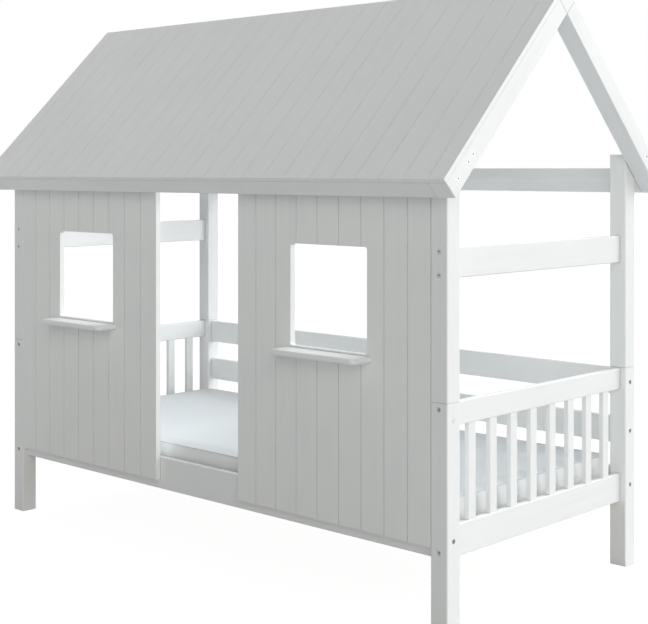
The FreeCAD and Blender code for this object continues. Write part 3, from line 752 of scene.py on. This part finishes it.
@dataclass
class Mattress:
    """Foam mattress in a knitted cover: a top and a bottom panel sewn to a border with welts.

    Attributes:
        edge_radius: Of the rolled edges between the panels and the border.
        corner_radius: Of the four corners seen from above.
        start_inset: How much smaller the cover starts than the foam's box, before it swells.
        swell_cap: The most that a point of the cover may move as it swells.
        cell: Size of the cover's grid cells away from the edges.
        edge_cells: Cells round each rolled edge.
        crown: Rise of the top at its middle.
        side_draw: How far the long sides pull in at their middle.
        welt_radius: Of the sewn cord along the panels' edges.
        corner_points: Points of each quarter circle that a welt's path is drawn through.
        welt_step: Metres between the points of that path.
        welt_sides: Points round a welt.
        frames: Steps of the cloth's simulation.
        panel_cloth_darkened: Jersey of the top and bottom panels and the welts, painted darker to offset
            the strong light that falls on the top.
        border_cloth_lightened: The same jersey in a lighter copy for the border, painted light for the
            light that its sides lack.
        pieces: What has been made, the cover first.
    """

    edge_radius: float = 0.014
    corner_radius: float = 0.030
    start_inset: float = 0.002
    swell_cap: float = 0.005
    cell: float = 0.0145
    edge_cells: int = 3
    crown: float = 0.003
    side_draw: float = 0.004
    welt_radius: float = 0.0022
    corner_points: int = 10
    welt_step: float = 0.012
    welt_sides: int = 10
    frames: int = 20
    # Painted light: lit and shaded copies of one jersey, darker on the well-lit top and lighter on the
    # border's shaded sides.
    panel_cloth_darkened: KnittedCover = KnittedCover("panel_jersey_darkened", (0.765, 0.793, 0.803), (0.700, 0.727, 0.738))
    border_cloth_lightened: KnittedCover = KnittedCover("border_jersey_lightened", (0.880, 0.895, 0.900), (0.820, 0.836, 0.842))
    pieces: list[bpy.types.Object] = field(default_factory=list)

    def __post_init__(self) -> None:
        """Reads the foam's box, and finds how far in the middle of a rolled edge lies."""
        low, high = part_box("mattress")
        self.low = np.array(low) + self.start_inset
        self.high = np.array(high) - self.start_inset
        self.low[Z_AXIS] = low[Z_AXIS]
        self.high[Z_AXIS] -= self.crown
        self.middle = (self.low + self.high) / 2
        self.half = (self.high - self.low) / 2
        self.roll_inset = self.edge_radius * (1 - math.sqrt(0.5))

    def stations(self, half: float) -> np.ndarray:
        """Grid lines from -half to half, close together round the rolled edges.

        Args:
            half: Half the box's side.

        Returns:
            The places of the lines.
        """
        flat = half - self.edge_radius
        count = max(2, round(2 * flat / self.cell))
        inner = np.linspace(-flat, flat, count + 1)
        roll = flat + self.edge_radius * np.arange(1, self.edge_cells + 1) / self.edge_cells
        return np.concatenate([-roll[::-1], inner, roll])

    def on_box(self, places: np.ndarray) -> np.ndarray:
        """Turns whole-number places into metres on the sharp box, about its middle."""
        return np.stack([self.stations(self.half[axis])[places[:, axis]] for axis in range(3)], axis=1)

    def lattice(self) -> tuple[np.ndarray, np.ndarray, np.ndarray, np.ndarray]:
        """The six sides of a box as one closed grid.

        Returns:
            Whole-number places of the points, the quads, the side that each quad is on, and
            how many cells there are along each axis.
        """
        cells = np.array([len(self.stations(side)) - 1 for side in self.half])
        quads = []
        sides = []
        for axis in range(3):
            first, second = [other for other in range(3) if other != axis]
            a, b = np.meshgrid(np.arange(cells[first]), np.arange(cells[second]), indexing="ij")
            for end in (0, 1):
                corners = []
                for step_a, step_b in ((0, 0), (1, 0), (1, 1), (0, 1)):
                    corner = np.zeros((*a.shape, 3), dtype=int)
                    corner[..., axis] = end * cells[axis]
                    corner[..., first] = a + step_a
                    corner[..., second] = b + step_b
                    corners.append(corner)
                outward = (end == 1) != (axis == 1)
                order = corners if outward else corners[::-1]
                quads.append(np.stack(order, axis=2).reshape(-1, 4, 3))
                sides.append(np.full(a.size, 2 * axis + end))
        corners = np.concatenate(quads).reshape(-1, 3)
        places, faces = np.unique(corners, axis=0, return_inverse=True)
        return places, faces.reshape(-1, 4), np.concatenate(sides), cells

    def foam_shape(self, places: np.ndarray) -> np.ndarray:
        """Lays the grid on the foam.

        A point is clamped to a box smaller by the edge radius and pushed out from there by
        that radius, which rolls the edges. In the corners, seen from above, each point is
        drawn to the circle that its larger side step gives. The long sides bow inwards and
        the top upwards, by parabolas.

        Args:
            places: Whole-number places of the points.

        Returns:
            Places in metres.
        """
        raw = self.on_box(places)
        core = np.clip(raw, -(self.half - self.edge_radius), self.half - self.edge_radius)
        out = raw - core
        length = np.linalg.norm(out, axis=1, keepdims=True)
        steps = np.abs(out).max(axis=1, keepdims=True)
        points = core + out * np.divide(steps, length, out=np.ones_like(length), where=length > 0)
        inner = self.half[:2] - self.corner_radius
        over = np.clip(np.abs(points[:, :2]) - inner, 0.0, None)
        in_corner = (over > 0).all(axis=1)
        reach = np.hypot(over[:, 0], over[:, 1])
        share = np.where(in_corner, over.max(axis=1) / np.maximum(reach, 1e-9), 1.0)
        drawn = np.sign(points[:, :2]) * (inner + over * share[:, None])
        points[:, :2] = np.where(in_corner[:, None], drawn, points[:, :2])
        along = points[:, 0] / self.half[0]
        across = points[:, 1] / self.half[1]
        height = (points[:, 2] + self.half[2]) / (2 * self.half[2])
        points[:, 1] -= across * self.side_draw * (1 - along ** 2)
        points[:, 2] += self.crown * (1 - along ** 2) * (1 - across ** 2) * np.clip(height, 0, 1)
        return points + self.middle

    def seam_rings(self, places: np.ndarray, cells: np.ndarray) -> np.ndarray:
        """Marks the points where the top and bottom panels meet the border.

        Args:
            places: Whole-number places of the points.
            cells: How many cells there are along each axis.

        Returns:
            True for each point on a seam.
        """
        on_wall = ((places[:, :2] == 0) | (places[:, :2] == cells[:2])).any(axis=1)
        on_panel = (places[:, 2] == 0) | (places[:, 2] == cells[2])
        return on_wall & on_panel

    def flat_map(self, piece: bpy.types.Object, places: np.ndarray, faces: np.ndarray,
                 sides: np.ndarray) -> None:
        """Adds a UV map laid out in metres, each side of the box on its own.

        Args:
            piece: The cover.
            places: Whole-number places of the points.
            faces: The quads.
            sides: The side that each quad is on, as twice its axis plus its end.
        """
        corners = self.on_box(places)[faces]
        axis = sides[:, None] // 2
        across = np.where(axis == 0, corners[..., 1], corners[..., 0])
        along = np.where(axis == Z_AXIS, corners[..., 1], corners[..., 2])
        layer = piece.data.uv_layers.new(name="cloth")
        layer.data.foreach_set("uv", np.stack([across, along], axis=-1).ravel())

    def swell(self, piece: bpy.types.Object, held: np.ndarray) -> None:
        """Lets the cover swell as cloth under pressure, held at the seams and underneath.

        Args:
            piece: The cover.
            held: True for each point that stays.
        """
        start = read_points(piece)
        pins = piece.vertex_groups.new(name="held")
        pins.add(np.flatnonzero(held).tolist(), 1.0, "REPLACE")
        cloth = piece.modifiers.new("swell", "CLOTH")
        for name, value in CLOTH_SETTINGS.items():
            setattr(cloth.settings, name, value)
        cloth.settings.effector_weights.gravity = 0.0
        cloth.collision_settings.use_collision = False
        cloth.point_cache.frame_start = 1
        cloth.point_cache.frame_end = self.frames
        scene = bpy.context.scene
        for number in range(1, self.frames + 1):
            scene.frame_set(number)
        shaped = piece.evaluated_get(bpy.context.evaluated_depsgraph_get())
        moved = read_points(shaped) - start
        piece.modifiers.remove(cloth)
        piece.vertex_groups.remove(pins)
        scene.frame_set(1)
        length = np.linalg.norm(moved, axis=1, keepdims=True)
        limit = self.swell_cap * np.tanh(length / self.swell_cap)
        moved *= np.divide(limit, length, out=np.zeros_like(length), where=length > 0)
        write_points(piece, start + moved)

    def welt(self, name: str, height: float) -> bpy.types.Object:
        """Makes the sewn cord along one seam.

        The path is the outline seen from above: straight sides with quarter circles at the
        corners, drawn in along the long sides by the same parabola as the cover.

        Args:
            name: The piece's name.
            height: Height of the seam.

        Returns:
            The welt.
        """
        radius = self.corner_radius - self.roll_inset
        outer = self.half[:2] - self.roll_inset
        turn = np.linspace(0.0, math.pi / 2, self.corner_points)
        arcs = []
        for quarter, (sx, sy) in enumerate(((1, 1), (-1, 1), (-1, -1), (1, -1))):
            angle = turn + quarter * math.pi / 2
            centre = np.array([sx, sy]) * (outer - radius)
            arcs.append(centre + radius * np.stack([np.cos(angle), np.sin(angle)], axis=1))
        loop = np.concatenate(arcs)
        loop = np.concatenate([loop, loop[:1]])
        lengths = np.concatenate([[0.0], np.cumsum(np.linalg.norm(np.diff(loop, axis=0), axis=1))])
        count = round(lengths[-1] / self.welt_step)
        spots = np.linspace(0.0, lengths[-1], count, endpoint=False)
        path = np.stack([np.interp(spots, lengths, loop[:, 0]), np.interp(spots, lengths, loop[:, 1]),
                         np.full(count, height)], axis=1)
        path[:, 1] -= path[:, 1] / self.half[1] * self.side_draw * (1 - (path[:, 0] / self.half[0]) ** 2)
        path[:, :2] += self.middle[:2]
        return tube_along(name, path, self.welt_radius, self.welt_sides)

    def build(self) -> None:
        """Makes the cover and its two welts."""
        places, faces, sides, cells = self.lattice()
        cover = new_mesh_object("mattress_cover", self.foam_shape(places), faces)
        self.flat_map(cover, places, faces, sides)
        cover.data.polygons.foreach_set("material_index", (sides // 2 != Z_AXIS).astype(np.int32))
        seams = self.seam_rings(places, cells)
        self.swell(cover, seams | (places[:, 2] == 0))
        smooth = cover.modifiers.new("smooth", "SUBSURF")
        smooth.levels = 1
        smooth.render_levels = 1
        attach(cover, "mattress")
        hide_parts("mattress")
        self.pieces.append(cover)
        for name, height in (("mattress_welt_top", self.high[Z_AXIS] - self.roll_inset),
                             ("mattress_welt_bottom", self.low[Z_AXIS] + self.roll_inset)):
            welt = self.welt(name, height)
            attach(welt, "mattress")
            self.pieces.append(welt)

    def dress(self, effects: SharedEffects) -> None:
        """Gives the panels and the welts the darker jersey, and the border its lighter copy, which paints
        light onto the sides.
        """
        panel = self.panel_cloth_darkened.material(effects)
        for piece in self.pieces:
            piece.data.materials.append(panel)
            report(piece.name, panel)
        self.pieces[0].data.materials.append(self.border_cloth_lightened.material(effects))


def read_points(piece: bpy.types.Object) -> np.ndarray:
    """A mesh's points as an array of n by 3."""
    count = len(piece.data.vertices)
    flat = np.zeros(count * 3, dtype=np.float32)
    piece.data.vertices.foreach_get("co", flat)
    return flat.reshape(-1, 3).astype(float)


def write_points(piece: bpy.types.Object, points: np.ndarray) -> None:
    """Gives a mesh new places for its points."""
    piece.data.vertices.foreach_set("co", points.astype(np.float32).ravel())
    piece.data.update()


# -------- the timber
def report(name: str, material: bpy.types.Material) -> None:
    """Logs one finished piece."""
    LOG.info("%-24s %s", name, material.name)


def paint_node(name: str, material: bpy.types.Material) -> None:
    """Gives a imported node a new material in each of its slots.

    Args:
        name: The node.
        material: Its finish.
    """
    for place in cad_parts[name].material_slots:
        place.material = material
    report(name, material)


@dataclass
class TimberSet:
    """Nodes of one finish, by the way their fibres run.

    Attributes:
        finish: The timber's finish.
        nodes: For each direction, the nodes that have it.
    """

    finish: PaintedTimber | BareTimber
    nodes: dict[Grain, list[str]]

    def dress(self, effects: SharedEffects) -> None:
        """Builds one material for each direction and gives it to the nodes."""
        for grain, names in self.nodes.items():
            material = self.finish.material(effects, grain)
            for name in names:
                paint_node(name, material)


def pairs(stem: str, ends: tuple[str, ...] = ("left", "right")) -> list[str]:
    """Names of the same piece at each end or side."""
    return [f"{stem}_{end}" for end in ends]


@dataclass
class HouseFrame:
    """Posts, beams and rafters, the two end panels and the rails between the posts."""

    spindles: int = 8
    paint: PaintedTimber = PaintedTimber("frame_paint")

    def dress(self, effects: SharedEffects) -> None:
        """Paints the timbers."""
        corners = ("front_left", "front_right", "back_left", "back_right")
        uprights = pairs("leg", corners) + pairs("post", corners)
        for side in ("left", "right"):
            uprights += [f"spindle_{side}_{i + 1}" for i in range(self.spindles)]
        TimberSet(self.paint, {
            Grain.ALONG_Z: uprights,
            Grain.ALONG_Y: pairs("end_top_rail") + pairs("end_bottom_rail") + pairs("cross_rail"),
            Grain.ALONG_X: ["side_rail_front", "side_rail_back", "guard_rail_upper", "guard_rail_lower",
                            "ridge_beam", "eave_beam_front", "eave_beam_back"],
            Grain.FRONT_SLOPE: pairs("rafter_front"),
            Grain.BACK_SLOPE: pairs("rafter_back"),
        }).dress(effects)


@dataclass
class BoardedSkin:
    """Grooved panels of the front and the roof, and the sills."""

    roof_panels: int = 4
    front_paint: PaintedTimber = PaintedTimber("front_paint", colour=(0.872, 0.878, 0.866), shade_and_dust_share=0.45,
                                               fibre_relief=0.00005)
    roof_paint: PaintedTimber = PaintedTimber("roof_paint", colour=(0.865, 0.873, 0.866), shade_and_dust_share=0.25,
                                              fibre_relief=0.00005)

    def dress(self, effects: SharedEffects) -> None:
        """Paints the panels and the sills."""
        TimberSet(self.front_paint, {Grain.ALONG_Z: pairs("facade_panel"),
                                     Grain.ALONG_X: pairs("window_sill")}).dress(effects)
        panels = [f"roof_panel_{i + 1}" for i in range(self.roof_panels)]
        TimberSet(self.roof_paint, {Grain.FRONT_SLOPE: panels}).dress(effects)


@dataclass
class SlattedBase:
    """Slats, ledgers and dowels in bare pine."""

    timber: BareTimber = BareTimber()

    def dress(self, effects: SharedEffects) -> None:
        """Gives the bare timbers their grain."""
        TimberSet(self.timber, {Grain.ALONG_Y: ["slats"],
                                Grain.ALONG_X: ["slat_ledger_front", "slat_ledger_back"],
                                Grain.ALONG_Z: ["dowels"]}).dress(effects)


@dataclass
class Hardware:
    """Bolts, insert nuts, screws and hole caps."""

    steel: ZincSteel = ZincSteel()
    plastic: WhitePlastic = WhitePlastic()

    def dress(self, effects: SharedEffects) -> None:
        """Gives the metal and the plastic their finish."""
        steel = self.steel.material(effects)
        for name in ("bed_bolts", "cross_rail_bolts", "insert_nuts", "rafter_screws", "wood_screws"):
            paint_node(name, steel)
        paint_node("hole_caps", self.plastic.material(effects))


# -------- the studio
@dataclass(frozen=True)
class Lamp:
    """A broad lamp far away, so that its light falls alike on the whole bed.

    Attributes:
        name: The lamp's name.
        azimuth: Degrees from +X towards +Y to the side that its light comes from.
        elevation: Degrees that it stands above the floor.
        strength: Its light on a surface that faces it.
        spread: Degrees that it spans in the sky, which softens its shadows.
        tint: The colour of its light.
    """

    name: str
    azimuth: float
    elevation: float
    strength: float
    spread: float
    tint: Colour = (1.0, 1.0, 1.0)

    def build(self) -> None:
        """Hangs the lamp, which shines down its own Z axis."""
        light = bpy.data.lights.new(self.name, "SUN")
        light.energy = self.strength
        light.angle = math.radians(self.spread)
        light.color = self.tint
        lamp = new_object(self.name, light)
        lamp.rotation_euler = (0.0, math.radians(90.0 - self.elevation), math.radians(self.azimuth))


@dataclass
class Studio:
    """Pale floor, white surroundings, soft lamps and the photograph's camera.

    Attributes:
        camera_place: Where the camera stands.
        camera_yaw: Degrees that it is turned left from looking along +Y.
        focal_pixels: Focal length in pixels of the photograph.
        centre_pixel: The point of the photograph that lies straight ahead of the camera.
        sensor: Width of the camera's sensor in millimetres.
        floor_reach: Half the floor's side.
        sky_strength: Light from all round.
        sky_tint: The colour of that light.
        lamps: The lamps above the bed, behind it, at its right end and before that end.
        floor_colour: Of the floor for light that bounces off it.
        floor_veil: Share of plain white that hides the floor's shading from the camera.
        floor_glow: Strength of that white, at which the open floor comes out white.
    """

    camera_place: Point = (3.40663, -3.51396, 1.32288)
    camera_yaw: float = 43.524
    focal_pixels: float = 1348.612
    centre_pixel: tuple[float, float] = (315.295, 169.36)
    sensor: float = 36.0
    floor_reach: float = 60.0
    sky_strength: float = 0.10
    sky_tint: Colour = (0.94, 1.0, 1.05)
    lamps: tuple[Lamp, ...] = (Lamp("top_lamp", 0.0, 90.0, 0.36, 50.0),
                               Lamp("back_lamp", 90.0, 40.0, 1.78, 50.0, (0.95, 1.0, 1.04)),
                               Lamp("end_lamp", 40.0, 20.0, 1.78, 50.0),
                               Lamp("front_lamp", 315.0, 20.0, 1.20, 50.0, (1.0, 1.0, 0.96)))
    floor_colour: Colour = (0.55, 0.55, 0.55)
    floor_veil: float = 0.80
    floor_glow: float = 1.20

    def make_camera(self) -> None:
        """Sets up the camera, level, with its frame shifted to the photograph's."""
        lens = bpy.data.cameras.new("photo_camera")
        lens.sensor_fit = "HORIZONTAL"
        lens.sensor_width = self.sensor
        lens.lens = self.focal_pixels * self.sensor / IMAGE_WIDTH
        lens.shift_x = (IMAGE_WIDTH / 2 - self.centre_pixel[0]) / IMAGE_WIDTH
        lens.shift_y = (self.centre_pixel[1] - IMAGE_HEIGHT / 2) / IMAGE_WIDTH
        camera = new_object("photo_camera", lens)
        camera.location = self.camera_place
        camera.rotation_euler = (math.pi / 2, 0.0, math.radians(self.camera_yaw))
        bpy.context.scene.camera = camera

    def seen_directly(self, sheet: NodeSheet) -> bpy.types.NodeSocket:
        """1 for rays from the camera, and those that metal or glass send on; else 0."""
        path = sheet.add("LightPath")
        seen = sheet.math("MAXIMUM", path.outputs["Is Camera Ray"], path.outputs["Is Glossy Ray"])
        return sheet.math("MAXIMUM", seen, path.outputs["Is Transmission Ray"])

    def make_sky(self) -> None:
        """White surroundings: full white to look at, and dimmer as a light."""
        world = bpy.data.worlds.new("studio_sky")
        world.use_nodes = True
        sheet = NodeSheet(world.node_tree)
        light = sheet.add("Background")
        sheet.feed(light.inputs["Color"], self.sky_tint)
        light.inputs["Strength"].default_value = self.sky_strength
        view = sheet.add("Background")
        view.inputs["Color"].default_value = (1.0, 1.0, 1.0, 1.0)
        mixed = sheet.add("MixShader")
        sheet.link(self.seen_directly(sheet), mixed.inputs[0])
        sheet.link(light.outputs[0], mixed.inputs[1])
        sheet.link(view.outputs[0], mixed.inputs[2])
        output = sheet.add("OutputWorld")
        sheet.link(mixed.outputs[0], output.inputs[0])
        bpy.context.scene.world = world

    def make_floor(self) -> None:
        """Pale floor that keeps a soft shadow under the bed."""
        sheet = MaterialSheet("studio_floor")
        sheet.set(Base_Color=self.floor_colour, Roughness=0.9, Specular_IOR_Level=0.0)
        white = sheet.add("Emission")
        white.inputs["Strength"].default_value = self.floor_glow
        veil = sheet.math("MULTIPLY", self.seen_directly(sheet), self.floor_veil)
        mixed = sheet.add("MixShader")
        sheet.link(veil, mixed.inputs[0])
        sheet.link(sheet.shader.outputs[0], mixed.inputs[1])
        sheet.link(white.outputs[0], mixed.inputs[2])
        sheet.link(mixed.outputs[0], sheet.output.inputs["Surface"])
        corners = self.floor_reach * np.array([(-1, -1, 0), (1, -1, 0), (1, 1, 0), (-1, 1, 0)])
        floor = new_mesh_object("studio_floor", corners, np.array([[0, 1, 2, 3]]))
        floor.data.materials.append(sheet.material)

    def build(self) -> None:
        """Sets up the camera, the surroundings, the floor and the lamps."""
        self.make_camera()
        self.make_sky()
        self.make_floor()
        for lamp in self.lamps:
            lamp.build()
        bpy.context.scene.view_settings.view_transform = "Standard"


def main() -> None:
    """Builds the studio, dresses the bed and reports each piece."""
    logging.basicConfig(level=logging.INFO, format="%(message)s")
    Studio().build()
    effects = SharedEffects.build()
    HouseFrame().dress(effects)
    BoardedSkin().dress(effects)
    SlattedBase().dress(effects)
    Hardware().dress(effects)
    mattress = Mattress()
    mattress.build()
    mattress.dress(effects)


if __name__ == "__main__":
    main()
